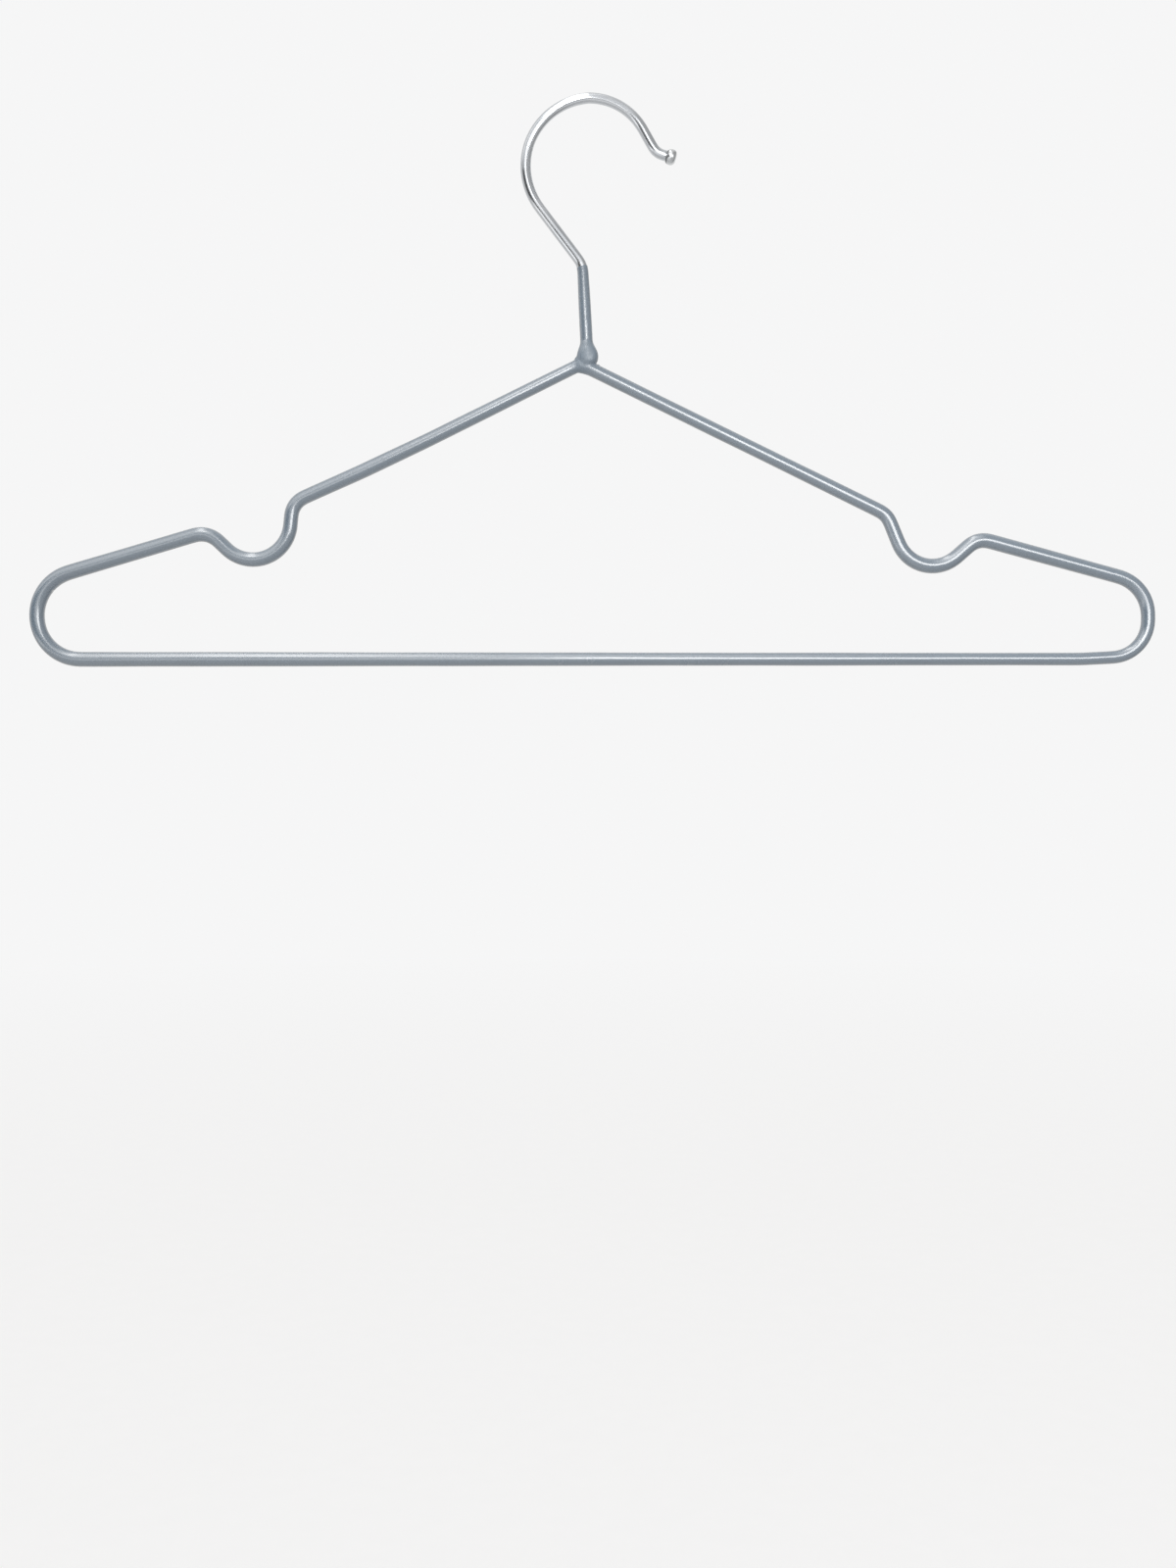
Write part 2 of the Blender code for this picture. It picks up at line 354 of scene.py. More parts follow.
def outer_field(q):
    neck = rod(q, SHANK_FOOT, neck_top, 2.36, 2.35)
    bulge = faced(q, ball(q, WELD_AT, WELD_R, 1.2), 3.05, 1.5)
    f = smooth_min(neck, bulge, 3.2)
    left = rod(q, along(APEX, left_dir, 2.2), along(APEX, left_dir, 20.0),
               left_radii[0] + 2.2 * (left_radii[1] - left_radii[0]) / 20, left_radii[1])
    right = rod(q, along(APEX, right_dir, 1.0), along(APEX, right_dir, 20.0),
                right_radii[0], right_radii[1])
    right = smooth_min(right, rod(q, (-3.40, -98.05), along(APEX, right_dir, 3.0), 2.73, 2.60), 0.4)
    # the left wire's end is pinched, so the right one's round end stands proud
    t = np.clip(((q[..., 0] - APEX[0]) * left_dir[0] + (q[..., 2] - APEX[1]) * left_dir[1]) / 6.0, 0, 1)
    left = left + 0.10 * (1 - t) ** 2
    arms = smooth_min(left, right, 0.35)
    # a bead of coat in the crook between the bulge and the right arm
    bead = ball(q, (3.35, -98.15), 0.42)
    arms = smooth_min(arms, bead, 0.7)
    # and a fillet between the bulge and the left arm's top
    fillet = ball(q, (-4.5, -96.1), 1.15)
    f = smooth_min(f, fillet, 1.2)
    return smooth_min(f, arms, 0.6)


def inner_field(q):
    neck = rod(q, SHANK_FOOT, neck_top, NECK_BORE_R, NECK_BORE_R)
    left = rod(q, along(APEX, left_dir, 1.4), along(APEX, left_dir, 20.0), BORE_R, BORE_R)
    right = rod(q, along(APEX, right_dir, 1.2), along(APEX, right_dir, 20.0), BORE_R, BORE_R)
    f = np.minimum(neck, faced(q, ball(q, WELD_AT, 3.30), 2.80, 0.3))
    f = smooth_min(f, np.minimum(left, right), 0.3)
    return smooth_min(f, ball(q, (-3.1, -97.6), 2.16, 0.95), 0.3)


def weld_field(q):
    """Weld metal between the wire ends and round the foot of the shank."""
    f = smooth_min(faced(q, ball(q, WELD_AT, 3.20), 2.70, 0.3), ball(q, (-3.1, -97.6), 2.08, 0.95), 0.5)
    lump = 0.05 * np.sin(q[..., 0] * 2.3 + 1) * np.sin(q[..., 1] * 2.9) * np.sin(q[..., 2] * 2.6)
    shank = rod(q, along(SHANK_FOOT, neck_dir, -0.1), neck_top, HOOK_R + 0.03, HOOK_R + 0.03)
    left = rod(q, along(APEX, left_dir, 3.4), along(APEX, left_dir, 20.0), 2.03, 2.03)
    right = rod(q, along(APEX, right_dir, 3.4), along(APEX, right_dir, 20.0), 2.03, 2.03)
    # The metal ends 2.2 mm up the shank, so no thin collar is left round it.
    top = (q[..., 0] - SHANK_FOOT[0]) * neck_dir[0] + (q[..., 2] - SHANK_FOOT[1]) * neck_dir[1] - 2.2
    f = -smooth_min(-(f + lump), -top, 0.3)
    f = -smooth_min(-f, shank, 0.25)
    return -smooth_min(-f, np.minimum(left, right), 0.2)


def gradient(field, q, e=0.01):
    g = np.stack([field(q + d) - field(q - d) for d in np.eye(3) * e], -1) / (2 * e)
    return g


def settle(field, q, times=3):
    """Moves points onto the surface where the field is zero."""
    for _ in range(times):
        g = gradient(field, q)
        q = q - g * (field(q) / np.maximum((g * g).sum(-1), 1e-6))[..., None]
    return q


def surface_net(field, low, high, cell):
    """A quad mesh of the surface where the field is zero."""
    axes = [np.arange(low[k], high[k] + cell / 2, cell) for k in range(3)]
    f = field(np.stack(np.meshgrid(*axes, indexing="ij"), -1))
    n = np.array(f.shape) - 1
    total, hits = np.zeros((*n, 3)), np.zeros(tuple(n))
    edges = []
    for k in range(3):
        lo, hi = [slice(None)] * 3, [slice(None)] * 3
        lo[k], hi[k] = slice(0, -1), slice(1, None)
        fa, fb = f[tuple(lo)], f[tuple(hi)]
        cross = (fa < 0) != (fb < 0)
        idx = np.argwhere(cross)
        where = idx.astype(float)
        where[:, k] += fa[cross] / (fa[cross] - fb[cross])
        u, v = [j for j in range(3) if j != k]
        cells = []
        for du, dv in ((0, 0), (1, 0), (1, 1), (0, 1)):
            c = idx.copy()
            c[:, u] -= du
            c[:, v] -= dv
            fine = ((c >= 0) & (c < n)).all(1)
            np.add.at(total, tuple(c[fine].T), where[fine])
            np.add.at(hits, tuple(c[fine].T), 1)
            cells.append((c, fine))
        good = np.logical_and.reduce([fine for _, fine in cells])
        edges.append([c[good] for c, _ in cells])
    number = -np.ones(tuple(n), int)
    used = hits > 0
    number[used] = np.arange(used.sum())
    q = total[used] / hits[used][:, None] * cell + np.array(low)
    quads = np.concatenate([np.stack([number[tuple(c.T)] for c in four], 1) for four in edges])
    links = np.unique(np.sort(np.concatenate([quads[:, [i, (i + 1) % 4]] for i in range(4)]), 1), axis=0)
    q = settle(field, q)
    for _ in range(6):
        mean, weight = np.zeros_like(q), np.zeros(len(q))
        for i, j in ((0, 1), (1, 0)):
            np.add.at(mean, links[:, i], q[links[:, j]])
            np.add.at(weight, links[:, i], 1)
        q = settle(field, q + 0.5 * (mean / weight[:, None] - q), 1)
    return settle(field, q, 2), quads


def junction(parts, field, cuts, cell, low=(-18.0, -4.88, -108.0), high=(12.0, 4.8, -78.0)):
    """Adds the surface of the field between the cuts to parts.  Each cut is a
    point and an outward heading on a wire; for each it gives back the ring's
    vertex numbers and their angles round that wire."""
    q, quads = surface_net(field, low, high, cell)
    bm = bmesh.new()
    verts = [bm.verts.new(p) for p in q.tolist()]
    for f in quads.tolist():
        if len(set(f)) == 4:
            bm.faces.new([verts[i] for i in f])
    for at, heading in cuts:
        bmesh.ops.bisect_plane(
            bm, geom=bm.verts[:] + bm.edges[:] + bm.faces[:], dist=0.02,
            plane_co=(at[0], 0, at[1]), plane_no=(heading[0], 0, heading[1]), clear_outer=True)
    loose = [v for v in bm.verts if not v.link_faces]
    bmesh.ops.delete(bm, geom=loose, context="VERTS")
    bm.verts.index_update()
    q = np.array([v.co for v in bm.verts])
    rims = []
    for at, heading in cuts:
        off = (q[:, 0] - at[0]) * heading[0] + (q[:, 2] - at[1]) * heading[1]
        rim = np.array([v.index for v in bm.verts
                        if abs(off[v.index]) < 0.03 and any(e.is_boundary for e in v.link_edges)])
        rims.append(rim)
    free = np.ones(len(q), bool)
    for rim in rims:
        free[rim] = False
    q[free] = settle(field, q[free], 1)
    g = gradient(field, q)
    ids = parts.add(q, g / np.linalg.norm(g, axis=1)[:, None])
    parts.faces += [[int(ids[v.index]) for v in f.verts] for f in bm.faces]
    bm.free()
    out = []
    for rim, (at, heading) in zip(rims, cuts):
        side = (q[rim, 0] - at[0]) * -heading[1] + (q[rim, 2] - at[1]) * heading[0]
        out.append((ids[rim], np.mod(np.arctan2(q[rim, 1], side), 2 * pi)))
    return out


# --------------------------------------------------------------- the pieces
# The coat: outer skin, rounded lip and bore, one closed shell.
coat = Parts()
SIDES, BORE_SIDES = 48, 20
NICK_S = loop.near(-203.0, -180.5)


def nick(s, a):
    """A small nick in the coat on the outside of the left end's upper bend."""
    side = 0.0
    around = np.mod(a - side + pi, 2 * pi) - pi
    return -0.30 * np.exp(-((s - NICK_S) / 0.38) ** 2) * np.exp(-(around / 0.30) ** 2)


left_p, left_t = (v[0] for v in loop.at([CUT]))
right_p, right_t = (v[0] for v in loop.at([loop.length - CUT]))
neck_cut_s = hook.near(hook.p[0, 0], NECK_CUT_Z, 0, 30)
neck_p, neck_t = (v[0] for v in hook.at([neck_cut_s]))
lip_s = float(np.interp(LIP_Z, hook.p[:200, 1], hook.s[:200]))


def skin(field, cell, sides, loop_r, neck_rings, neck_r, neck_sides, gap, widest, turn, finer=()):
    """One skin of the coat: the loop's tube, the junction and the neck's tube.
    Gives back the neck's top ring."""
    a = round_angles(sides)
    s = loop.stations(CUT + gap, loop.length - CUT - gap, widest, turn, finer)
    grid = coat.add(swept(loop, s, a, loop_r(s, a))).reshape(len(s), sides)
    coat.rings(grid)
    neck_a = round_angles(neck_sides)
    neck = coat.add(swept(hook, neck_rings, neck_a, neck_r)).reshape(len(neck_rings), neck_sides)
    coat.rings(neck)
    rims = junction(coat, field, [(left_p, left_t), (right_p, -right_t), (neck_p, neck_t)], cell)
    coat.zipper(rims[0][0], rims[0][1], grid[0], a)
    # the right arm's run heads towards the apex, so its angles count the other way
    coat.zipper(rims[1][0], rims[1][1], grid[-1], np.mod(pi - a, 2 * pi))
    coat.zipper(rims[2][0], rims[2][1], neck[0], neck_a)
    return neck[-1]


def outer_radius(s, a):
    return coat_radius(s)[:, None] + coat_ripple(s[:, None], a[None, :]) + nick(s[:, None], a[None, :])


neck_s = np.r_[np.linspace(neck_cut_s + 0.3, lip_s - 0.5, 18), lip_s - np.array([0.25, 0.09, 0.03])]
neck_z = hook.at(neck_s)[0][:, 1]
neck_outer = np.interp(neck_z, [z for z, _ in NECK_RADII], [r for _, r in NECK_RADII])
neck_outer[-1] -= 0.006
outer_top = skin(outer_field, 0.3, SIDES, outer_radius, neck_s, neck_outer, SIDES, 0.3,
                 2.4, radians(3.2), [(NICK_S, 2.0, 0.22)])
lip = coat.add(swept(hook, lip_s + np.array([-0.006, 0.012, 0.002]), round_angles(SIDES),
                     np.array([2.052, 2.024, 1.998]))).reshape(3, SIDES)
bore_s = np.r_[np.linspace(neck_cut_s + 0.4, lip_s - 0.4, 8), lip_s - 0.1]
bore_top = skin(inner_field, 0.55, BORE_SIDES, lambda s, a: np.full(len(s), BORE_R), bore_s,
                np.full(len(bore_s), NECK_BORE_R), SIDES, 0.4, 6.0, radians(7))
coat.rings(np.stack([outer_top, lip[0], lip[1], lip[2], bore_top]))
pvc_coat = coat.build("coat_shell")

# The hook's bright wire, with a small chamfer at both ends.
TIP_SEAT = 0.9
wire = Parts()
end_s = hook.length - TIP_SEAT
wire_s = hook.stations(0.18, end_s - 0.18, 2.2, radians(2.4))
wire_s = np.r_[0.0, wire_s, end_s]
wire_r = np.full(len(wire_s), HOOK_R)
wire_r += 0.004 * np.sin(wire_s / 9.0) + 0.003 * np.sin(wire_s / 3.7 + 1)
wire_r[[0, -1]] = HOOK_R - 0.18
wire_a = round_angles(SIDES)
wire_grid = wire.add(swept(hook, wire_s, wire_a, wire_r)).reshape(len(wire_s), SIDES)
wire.rings(wire_grid)
for k, at in ((0, 0.0), (-1, end_s)):
    p = hook.at([at])[0][0]
    wire.cap(wire_grid[k], (p[0], 0, p[1]))
hook_wire = wire.build("hook_wire_bright")
along_wire = np.stack([np.cos(wire_a)[None, :] * wire_r[:, None],
                       np.sin(wire_a)[None, :] * wire_r[:, None],
                       np.broadcast_to(wire_s[:, None], (len(wire_s), SIDES))], -1).reshape(-1, 3)
drawn = hook_wire.data.attributes.new("drawn", "FLOAT_VECTOR", "POINT")
values = np.concatenate([along_wire, np.array([[0, 0, 0.0], [0, 0, end_s]])])
drawn.data.foreach_set("vector", values.astype(np.float32).ravel())

# The flattened head on the hook's tip: distance along the wire, radius.
HEAD = [(-0.72, 0.0), (-0.72, 1.2), (-0.72, 1.985), (-1.05, 1.99), (-1.42, 1.995),
        (-1.56, 2.015), (-1.60, 2.06), (-1.55, 2.16), (-1.38, 2.36), (-1.12, 2.56),
        (-0.80, 2.71), (-0.42, 2.80), (0.00, 2.84), (0.42, 2.83), (0.80, 2.76),
        (1.14, 2.62), (1.42, 2.42), (1.64, 2.16), (1.80, 1.84), (1.90, 1.46),
        (1.955, 1.02), (1.985, 0.52), (1.995, 0.0)]
head = Parts()
tip_p = np.array(TIP_AT)
tip_t = hook.at([hook.length])[1][0]
tip_n = np.array([-tip_t[1], tip_t[0]])
head_a = round_angles(56)
rows = []
for u, r in HEAD:
    if r == 0.0:
        p = tip_p + tip_t * u
        rows.append(head.add([(p[0], 0, p[1])]))
        continue
    # the crease is deeper above than below, and the head leans back a little
    up = np.cos(head_a)
    lean = u + (0.10 * up * r / 2.84 if u > -1.5 else -0.06 * (1 - up) / 2)
    wide = r * (1 + 0.012 * np.cos(2 * head_a)) - (0.05 * (1 + up) / 2 if -1.58 < u < -1.3 and r > 2.1 else 0)
    flat = wide * up
    rows.append(head.add(np.stack([
        tip_p[0] + tip_t[0] * lean + tip_n[0] * flat,
        wide * np.sin(head_a),
        tip_p[1] + tip_t[1] * lean + tip_n[1] * flat], -1)))
for end, ring in ((rows[0], rows[1]), (rows[-1], rows[-2])):
    head.faces += [(int(i), int(j), int(end[0])) for i, j in zip(ring, np.roll(ring, -1))]
head.rings(np.stack(rows[1:-1]))
hook_head = head.build("hook_tip_head")
hook_head.data.set_sharp_from_angle(angle=radians(60))

# The weld under the coat.
weld = Parts()
weld_q, weld_quads = surface_net(weld_field, (-8.0, -4.25, -102.5), (4.6, 4.2, -89.5), 0.25)
weld.add(weld_q)
weld.faces = [f for f in weld_quads.tolist() if len(set(f)) == 4]
weld_metal = weld.build("weld_nugget")

for piece, node, slot in ((pvc_coat, "pvc_coat", "coat_plastic"),
                          (hook_wire, "hook_wire", "hook_chrome"),
                          (hook_head, "hook_tip_ball", "hook_chrome"),
                          (weld_metal, "apex_weld", "weld_metal")):
    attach(piece, "root")
    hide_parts(node)


# ---------------------------------------------------------------- materials
class Shader:
    """A material's node tree, with short calls to add and join nodes."""

    def __init__(self, name):
        self.mat = bpy.data.materials.new(name)
        self.mat.use_nodes = True
        self.tree = self.mat.node_tree
        self.bsdf = self.tree.nodes["Principled BSDF"]
        self.coords = self.tree.nodes.new("ShaderNodeTexCoord")

    def node(self, kind, inputs=None, **settings):
        node = self.tree.nodes.new(kind)
        for key, value in settings.items():
            setattr(node, key, value)
        for key, value in (inputs or {}).items():
            if isinstance(value, bpy.types.NodeSocket):
                self.tree.links.new(value, node.inputs[key])
            else:
                node.inputs[key].default_value = value
        return node

    def noise(self, scale, detail=2.0, rough=0.5, vector=None, distortion=0.0):
        """Noise whose scale is counts per metre of the object."""
        return self.node("ShaderNodeTexNoise", {
            "Vector": vector or self.coords.outputs["Object"], "Scale": scale,
            "Detail": detail, "Roughness": rough, "Distortion": distortion}).outputs["Fac"]

    def spread(self, value, low, high, to_low, to_high):
        return self.node("ShaderNodeMapRange", {
            "Value": value, "From Min": low, "From Max": high,
            "To Min": to_low, "To Max": to_high}).outputs["Result"]

    def mix(self, factor, a, b, blend="MIX"):
        node = self.node("ShaderNodeMix", data_type="RGBA", blend_type=blend)
        for key, value in ((0, factor), (6, a), (7, b)):
            if isinstance(value, bpy.types.NodeSocket):
                self.tree.links.new(value, node.inputs[key])
            else:
                node.inputs[key].default_value = value
        return node.outputs[2]

    def math(self, kind, a, b):
        node = self.node("ShaderNodeMath", operation=kind)
        for key, value in ((0, a), (1, b)):
            if isinstance(value, bpy.types.NodeSocket):
                self.tree.links.new(value, node.inputs[key])
            else:
                node.inputs[key].default_value = value
        return node.outputs[0]

    def bump(self, height, distance, strength=1.0, under=None):
        node = self.node("ShaderNodeBump", {
            "Height": height, "Distance": distance, "Strength": strength})
        if under:
            self.tree.links.new(under, node.inputs["Normal"])
        return node.outputs["Normal"]

    def to(self, **sockets):
        for key, value in sockets.items():
            socket = self.bsdf.inputs[key.replace("_", " ")]
            if isinstance(value, bpy.types.NodeSocket):
                self.tree.links.new(value, socket)
            else:
                socket.default_value = value
        return self.mat


def coat_material():
    m = Shader("coat_plastic")
    cloud = m.noise(38.0, 3.0, 0.55)                      # 26 mm clouds in the pigment
    grain = m.noise(1400.0, 2.0, 0.6)                     # 0.7 mm mottling
    tone = m.spread(cloud, 0.3, 0.7, 0.0, 1.0)
    color = m.mix(tone, (*COAT_DARK, 1.0), (*COAT_LIGHT, 1.0))
    speck = m.spread(grain, 0.35, 0.75, 0.965, 1.035)
    color = m.mix(1.0, color, m.node("ShaderNodeCombineColor", {
        "Red": speck, "Green": speck, "Blue": speck}).outputs[0], "MULTIPLY")
    dust = m.spread(m.noise(3200.0, 1.0, 0.5), 0.70, 0.78, 0.0, 0.35)
    color = m.mix(dust, color, (0.42, 0.44, 0.45, 1.0))
    haze = m.noise(120.0, 4.0, 0.6)
    rough = m.math("ADD", m.spread(haze, 0.3, 0.7, 0.20, 0.27),
                   m.spread(grain, 0.3, 0.8, 0.0, 0.04))
    # over the weld the coat is thin and its gloss is gone
    away = m.node("ShaderNodeVectorMath", {0: m.coords.outputs["Object"], 1: (WELD_AT[0] * MM, 0.0, WELD_AT[1] * MM)},
                  operation="DISTANCE").outputs["Value"]
    lobe = m.node("ShaderNodeVectorMath", {0: m.coords.outputs["Object"], 1: (-2.9 * MM, 0.0, -98.0 * MM)},
                  operation="DISTANCE").outputs["Value"]
    away = m.math("MINIMUM", away, m.math("ADD", lobe, 0.0008))
    away = m.math("ADD", away, m.spread(haze, 0.3, 0.7, -0.0003, 0.0003))
    rough = m.math("ADD", rough, m.spread(away, 0.0034, 0.0066, 0.30, 0.0))
    gloss = m.spread(away, 0.0034, 0.0066, 0.12, 1.0)
    peel = m.bump(m.noise(220.0, 1.0, 0.4), 0.00003, 0.4)
    peel = m.bump(m.noise(1500.0, 1.0, 0.5), 0.000002, 0.3, peel)
    return m.to(Base_Color=color, Roughness=rough, Normal=peel, Metallic=0.0, IOR=1.54,
                Specular_IOR_Level=1.0, Coat_Weight=gloss, Coat_Roughness=0.16, Coat_IOR=1.75)


def chrome_material():
    m = Shader("hook_chrome")
    drawn = m.node("ShaderNodeAttribute", attribute_name="drawn",
                   attribute_type="GEOMETRY").outputs["Vector"]
    lines = m.node("ShaderNodeMapping", {"Vector": drawn, "Scale": (9.0, 9.0, 0.25)}).outputs[0]
    streak = m.noise(1.0, 3.0, 0.6, lines)
    smear = m.noise(90.0, 4.0, 0.6)
    pits = m.spread(m.noise(2600.0, 1.0, 0.5), 0.72, 0.80, 0.0, 1.0)
    color = m.mix(m.spread(smear, 0.3, 0.7, 0.0, 1.0), (0.62, 0.655, 0.695, 1.0), (0.69, 0.715, 0.75, 1.0))
    color = m.mix(m.math("MULTIPLY", pits, 0.45), color, (0.30, 0.29, 0.28, 1.0))
    rough = m.math("ADD", m.spread(smear, 0.3, 0.7, 0.13, 0.20),
                   m.spread(streak, 0.35, 0.7, 0.0, 0.05))
    rough = m.math("ADD", rough, m.math("MULTIPLY", pits, 0.15))
    normal = m.bump(streak, 0.000004, 0.6)
    normal = m.bump(m.noise(500.0, 2.0, 0.5), 0.000012, 0.5, normal)
    return m.to(Base_Color=color, Roughness=rough, Normal=normal, Metallic=0.92, Specular_IOR_Level=0.8)


def head_material():
    m = Shader("hook_head_chrome")
    smear = m.noise(260.0, 3.0, 0.6)
    color = m.mix(m.spread(smear, 0.3, 0.7, 0.0, 1.0), (0.66, 0.69, 0.72, 1.0), (0.76, 0.78, 0.80, 1.0))
    # painted shade: the colour darkens to near black in the crease where the head meets the wire, where shade falls;
    # the crease is also rougher
    seat = m.node("ShaderNodeVectorMath", {0: m.coords.outputs["Object"], 1: (tip_t[0], 0.0, tip_t[1])},
                  operation="DOT_PRODUCT").outputs["Value"]
    seat = m.math("ADD", seat, m.spread(smear, 0.3, 0.7, -0.00012, 0.00012))
    base = float(tip_p @ tip_t) * MM
    outside_painted_crease_shade = m.spread(seat, base - 0.0015, base - 0.0007, 0.0, 1.0)
    # the near-black colour here is painted shade in the crease
    color = m.mix(outside_painted_crease_shade, (0.13, 0.14, 0.15, 1.0), color)
    rough = m.math("ADD", m.spread(smear, 0.3, 0.7, 0.20, 0.28), m.spread(outside_painted_crease_shade, 0.0, 1.0, 0.20, 0.0))
    normal = m.bump(m.noise(900.0, 2.0, 0.5), 0.00002, 0.5)
    return m.to(Base_Color=color, Roughness=rough, Normal=normal, Metallic=1.0)


def core_material():
    m = Shader("core_steel")
    scale = m.noise(700.0, 4.0, 0.6)
    color = m.mix(m.spread(scale, 0.3, 0.7, 0.0, 1.0), (0.33, 0.33, 0.34, 1.0), (0.47, 0.47, 0.48, 1.0))
    return m.to(Base_Color=color, Roughness=m.spread(scale, 0.3, 0.7, 0.28, 0.45), Metallic=1.0,
                Normal=m.bump(m.noise(2500.0, 2.0, 0.5), 0.00002, 0.5))


def weld_material():
    m = Shader("weld_metal")
    scale = m.noise(900.0, 4.0, 0.6)
    tint = m.mix(m.spread(m.noise(300.0, 2.0, 0.5), 0.3, 0.7, 0.0, 1.0),
                 (0.22, 0.21, 0.20, 1.0), (0.36, 0.35, 0.36, 1.0))
    return m.to(Base_Color=tint, Roughness=m.spread(scale, 0.3, 0.7, 0.42, 0.65), Metallic=1.0,
                Normal=m.bump(scale, 0.00008, 0.6))


COAT_DARK = (0.164, 0.210, 0.261)
COAT_LIGHT = (0.180, 0.229, 0.283)

pvc_coat.data.materials.append(coat_material())
hook_wire.data.materials.append(chrome_material())
hook_head.data.materials.append(head_material())
weld_metal.data.materials.append(weld_material())
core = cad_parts["frame_wire"]
steel = core_material()
for k in range(len(core.material_slots)):
    core.material_slots[k].material = steel

# -------------------------------------------------------------------- stage
PALE = (0.922, 0.922, 0.924)     # floor and surroundings, as the camera sees them
WINDOW = 4.4
ROOM = {"upper_left": 1.50, "upper_right": 0.44, "lower_left": 0.68, "lower_right": 0.53,
        "left_low": 0.04, "ceiling": 2.8, "ring_low": 0.66, "ring_high": 0.74,
        "ring_right": 0.36, "behind": 0.85}
FLOOR_Z = -0.62


def floor_material():
    m = Shader("pale_floor")
    m.tree.nodes.remove(m.bsdf)
    out = m.tree.nodes["Material Output"]
    fine = m.spread(m.noise(60.0, 4.0, 0.6), 0.3, 0.7, 0.0, 1.0)
    color = m.mix(fine, (0.80, 0.80, 0.80, 1.0), (0.825, 0.825, 0.825, 1.0))
    matt = m.node("ShaderNodeBsdfDiffuse", {"Color": color}).outputs[0]
    glow = m.node("ShaderNodeEmission", {"Color": (*PALE, 1.0), "Strength": 1.0}).outputs[0]
    away = m.node("ShaderNodeVectorMath", {0: m.coords.outputs["Object"]}, operation="LENGTH").outputs["Value"]
    far = m.spread(away, 0.9, 3.0, 0.72, 1.0)
    mixed = m.node("ShaderNodeMixShader", {0: far, 1: matt, 2: glow}).outputs[0]
    m.tree.links.new(mixed, out.inputs["Surface"])
    return m.mat


floor_mesh = bpy.data.meshes.new("floor")
half = 60.0
floor_mesh.from_pydata([(-half, -half, 0), (half, -half, 0), (half, half, 0), (-half, half, 0)], [], [(0, 1, 2, 3)])
floor = bpy.data.objects.new("floor", floor_mesh)
floor.location = (0, 0, FLOOR_Z)
scene.collection.objects.link(floor)
floor_mesh.materials.append(floor_material())
floor.visible_glossy = False
floor.visible_diffuse = False


def softbox(name, low, high, y, radiance, tint=(1.0, 1.0, 1.0)):
    """A rectangular light in front of the hanger, facing it; low and high are
    its x, z corners in metres."""
    data = bpy.data.lights.new(name, "AREA")
    data.shape = "RECTANGLE"
    data.size, data.size_y = high[0] - low[0], high[1] - low[1]
    data.energy = radiance * pi * data.size * data.size_y
    data.color = tint
    obj = bpy.data.objects.new(name, data)
    obj.location = ((low[0] + high[0]) / 2, y, (low[1] + high[1]) / 2)
    obj.rotation_mode = "QUATERNION"
    obj.rotation_quaternion = Vector((0, 1, 0)).to_track_quat("-Z", "Y")
    obj.visible_camera = False
    scene.collection.objects.link(obj)
    return obj


def flag(name, corners, y, grey):
    """A matt dark card in front of the hanger, that only its reflections show."""
    mesh = bpy.data.meshes.new(name)
    mesh.from_pydata([(x, y, z) for x, z in corners], [], [tuple(range(len(corners)))])
    m = Shader(name)
    mesh.materials.append(m.to(Base_Color=(grey, grey, grey, 1.0), Roughness=1.0,
                               Specular_IOR_Level=0.0))
    obj = bpy.data.objects.new(name, mesh)
    scene.collection.objects.link(obj)
    obj.visible_camera = False
    obj.visible_shadow = False
    return obj

def ring_part(turns, near, far):
    """Corners of part of a ring round the hook's centre, turns in degrees."""
    turn = [radians(v) for v in turns]
    edge = [(near * cos(v), near * sin(v) - 0.026) for v in turn]
    return edge + [(far * cos(v), far * sin(v) - 0.026) for v in reversed(turn)]


def near_card(name, corners, radiance):
    """A dim glowing card 32 mm in front of the hook, so that only the hook mirrors it."""
    mesh = bpy.data.meshes.new(name)
    mesh.from_pydata([(x, -0.032, z) for x, z in corners], [], [tuple(range(len(corners)))])
    m = Shader(name)
    mesh.materials.append(m.to(Base_Color=(0.0, 0.0, 0.0, 1.0), Roughness=1.0, Specular_IOR_Level=0.0,
                               Emission_Color=(1.0, 0.99, 0.98, 1.0), Emission_Strength=radiance))
    obj = bpy.data.objects.new(name, mesh)
    scene.collection.objects.link(obj)
    obj.visible_camera = False
    obj.visible_shadow = False
    return obj


softbox("window", (-0.03, -0.19), (0.54, 0.15), -0.85, WINDOW)
softbox("upper_pane", (-0.03, 0.12), (0.05, 0.24), -0.845, 8.0)
softbox("ceiling_light", (-0.42, 0.55), (-0.26, 0.95), -0.90, 2.2)
near_card("left_arc_card", ring_part((122, 133, 144, 155, 166), 0.047, 0.100), 0.70)
near_card("crown_card", ring_part((58, 66, 74, 82, 90), 0.0227, 0.100), 0.72)
near_card("inner_card", ring_part((184, 220, 250, 280, 310, 345), 0.002, 0.028), 0.95)
near_card("run_card", [(-0.0234, -0.0353), (-0.0083, -0.0593), (-0.0028, -0.0552), (-0.0179, -0.0312)], 0.50)
flag("dark_card", [(-0.173, 0.030), (-0.228, 0.100), (-0.628, -0.210), (-0.573, -0.280)], -0.80, 0.10)

world = bpy.data.worlds.new("surroundings")
scene.world = world
world.use_nodes = True
tree = world.node_tree
tree.nodes.clear()


def w_node(kind, inputs=None, **settings):
    node = tree.nodes.new(kind)
    for key, value in settings.items():
        setattr(node, key, value)
    for key, value in (inputs or {}).items():
        if isinstance(value, bpy.types.NodeSocket):
            tree.links.new(value, node.inputs[key])
        else:
            node.inputs[key].default_value = value
    return node


def step(value, low, high, a, b):
    """Goes smoothly from a to b as value goes from low to high."""
    return w_node("ShaderNodeMapRange", {"Value": value, "From Min": low, "From Max": high,
                                         "To Min": a, "To Max": b},
                  interpolation_type="SMOOTHSTEP").outputs[0]


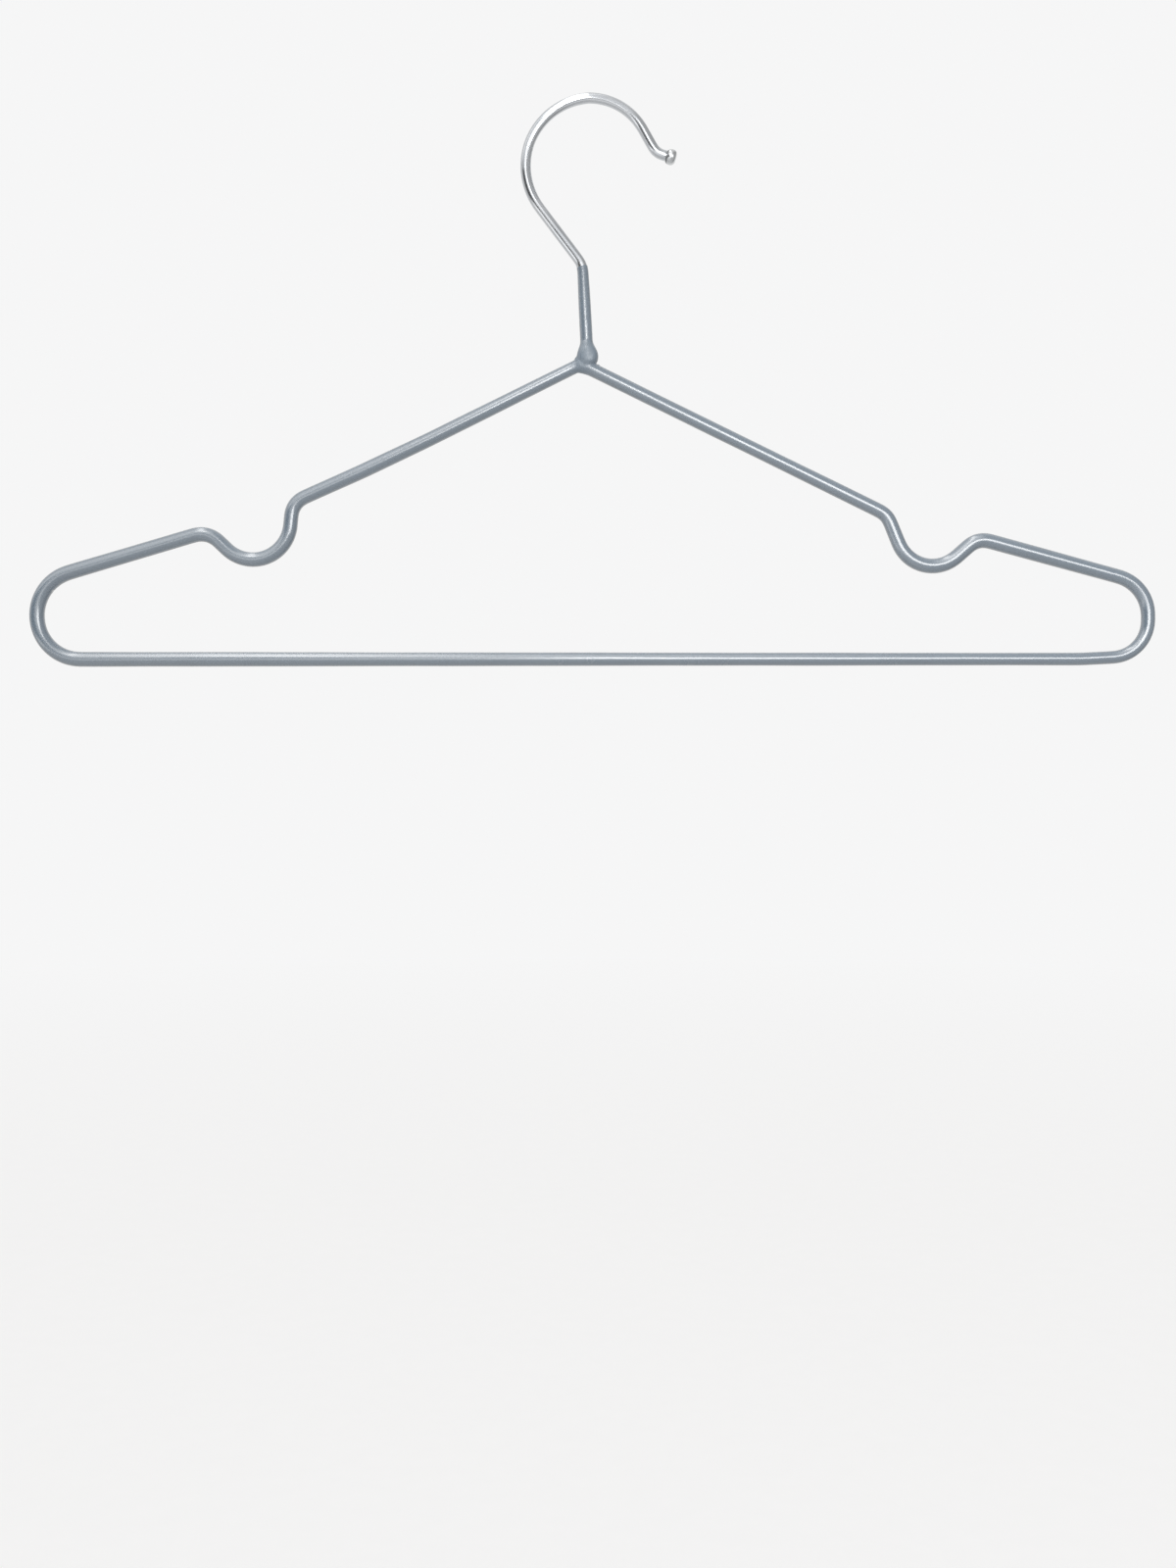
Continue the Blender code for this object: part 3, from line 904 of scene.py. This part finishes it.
def between(factor, a, b):
    node = w_node("ShaderNodeMix", data_type="FLOAT")
    for key, value in ((0, factor), (2, a), (3, b)):
        if isinstance(value, bpy.types.NodeSocket):
            tree.links.new(value, node.inputs[key])
        else:
            node.inputs[key].default_value = value
    return node.outputs[0]


# The light round the hanger: in front brightest from the upper left and dim from
# the lower right, a darker ring at the sides, and brightness again behind.
ray = w_node("ShaderNodeTexCoord").outputs["Generated"]
axes = w_node("ShaderNodeSeparateXYZ", {0: ray})
rx, ry, rz = (axes.outputs[k] for k in "XYZ")
lower = step(rx, 0.22, -0.30, ROOM["lower_right"], ROOM["lower_left"])
upper = step(rx, 0.26, 0.06, ROOM["upper_right"], ROOM["upper_left"])
lamp = w_node("ShaderNodeMath", {0: step(rx, -0.04, -0.16, 0.0, 1.0), 1: step(rx, -0.32, -0.20, 0.0, 1.0)},
              operation="MULTIPLY").outputs[0]
lamp = w_node("ShaderNodeMath", {0: lamp, 1: step(rz, 0.50, 0.68, 0.0, ROOM["ceiling"])},
              operation="MULTIPLY").outputs[0]
lamp = w_node("ShaderNodeMath", {0: lamp, 1: step(ry, 0.35, 0.10, 0.0, 1.0)}, operation="MULTIPLY").outputs[0]
slant = w_node("ShaderNodeMath", {0: rx, 1: 0.25}, operation="MULTIPLY").outputs[0]
height = w_node("ShaderNodeMath", {0: rz, 1: slant}, operation="SUBTRACT").outputs[0]
room_front = between(step(height, -0.22, -0.17, 0.0, 1.0), lower, upper)
low_band = w_node("ShaderNodeMath", {0: step(rz, -0.26, -0.14, 0.0, 1.0), 1: step(rz, 0.46, 0.32, 0.0, 1.0)},
                  operation="MULTIPLY").outputs[0]
low_band = w_node("ShaderNodeMath", {0: low_band, 1: step(rx, -0.34, -0.50, 0.0, 1.0)},
                  operation="MULTIPLY").outputs[0]
room_front = between(low_band, room_front, ROOM["left_low"])
ring = between(step(rx, 0.35, 0.75, 0.0, 1.0),
               step(rz, -0.2, 0.5, ROOM["ring_low"], ROOM["ring_high"]), ROOM["ring_right"])
sides = between(step(ry, -0.40, 0.0, 0.0, 1.0), room_front, ring)
level = between(step(ry, 0.40, 0.60, 0.0, 1.0), sides, ROOM["behind"])
level = w_node("ShaderNodeMath", {0: level, 1: lamp}, operation="ADD").outputs[0]
room = w_node("ShaderNodeBackground", {"Color": (1.0, 0.985, 0.965, 1.0), "Strength": level}).outputs[0]
plain = w_node("ShaderNodeBackground", {"Color": (*PALE, 1.0), "Strength": 1.0}).outputs[0]
seen = w_node("ShaderNodeLightPath").outputs["Is Camera Ray"]
both = w_node("ShaderNodeMixShader", {0: seen, 1: room, 2: plain}).outputs[0]
tree.links.new(both, w_node("ShaderNodeOutputWorld").inputs["Surface"])

scene.view_settings.view_transform = "Standard"
scene.view_settings.look = "None"
scene.view_settings.exposure = 0.0
scene.view_settings.gamma = 1.0

# ------------------------------------------------------------------- camera
cam_data = bpy.data.cameras.new("front_camera")
cam_data.lens = 40.0
cam_data.sensor_width = 36.0
cam_data.clip_start = 0.02
cam_data.clip_end = 200.0
camera = bpy.data.objects.new("front_camera", cam_data)
camera.location = (-0.000536, -0.6515, -0.25451)
camera.rotation_mode = "QUATERNION"
camera.rotation_quaternion = Vector((0, 1, 0)).to_track_quat("-Z", "Y")
scene.collection.objects.link(camera)
scene.camera = camera
